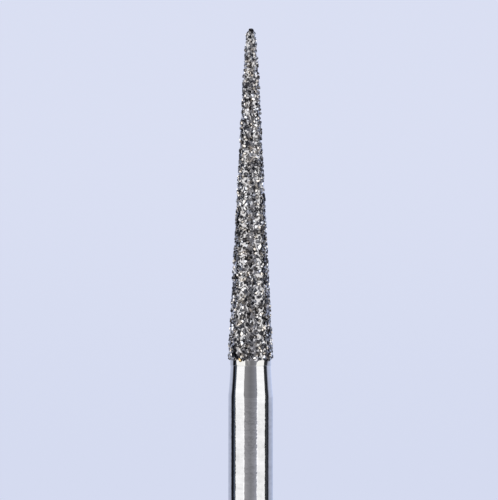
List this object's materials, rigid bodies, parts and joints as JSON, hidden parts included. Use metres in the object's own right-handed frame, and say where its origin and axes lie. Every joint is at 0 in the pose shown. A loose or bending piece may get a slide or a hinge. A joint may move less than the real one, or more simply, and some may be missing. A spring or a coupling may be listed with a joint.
{
  "type": "dental bur",
  "caption": "Long tapered needle dental bur: straight ground steel shank, short tapered neck and a slim pointed cone head coated with coarse diamond grit.",
  "frame": {"origin": "centre of the flat end face of the shank", "axes": "+Z along the axis from the shank's end to the tip of the head; the bur is round about Z"},
  "size_m": [0.0016, 0.0016, 0.025],
  "materials": {
    "ground_steel": "ground and polished stainless steel, glossy, with fine marks round the axis",
    "diamond_grit": "nickel plating with coarse, glassy grey diamond grains standing out of it"
  },
  "bodies": {
    "root": {"steel_blank": "ground_steel", "diamond_coat": "diamond_grit"}
  },
  "joints": []
}
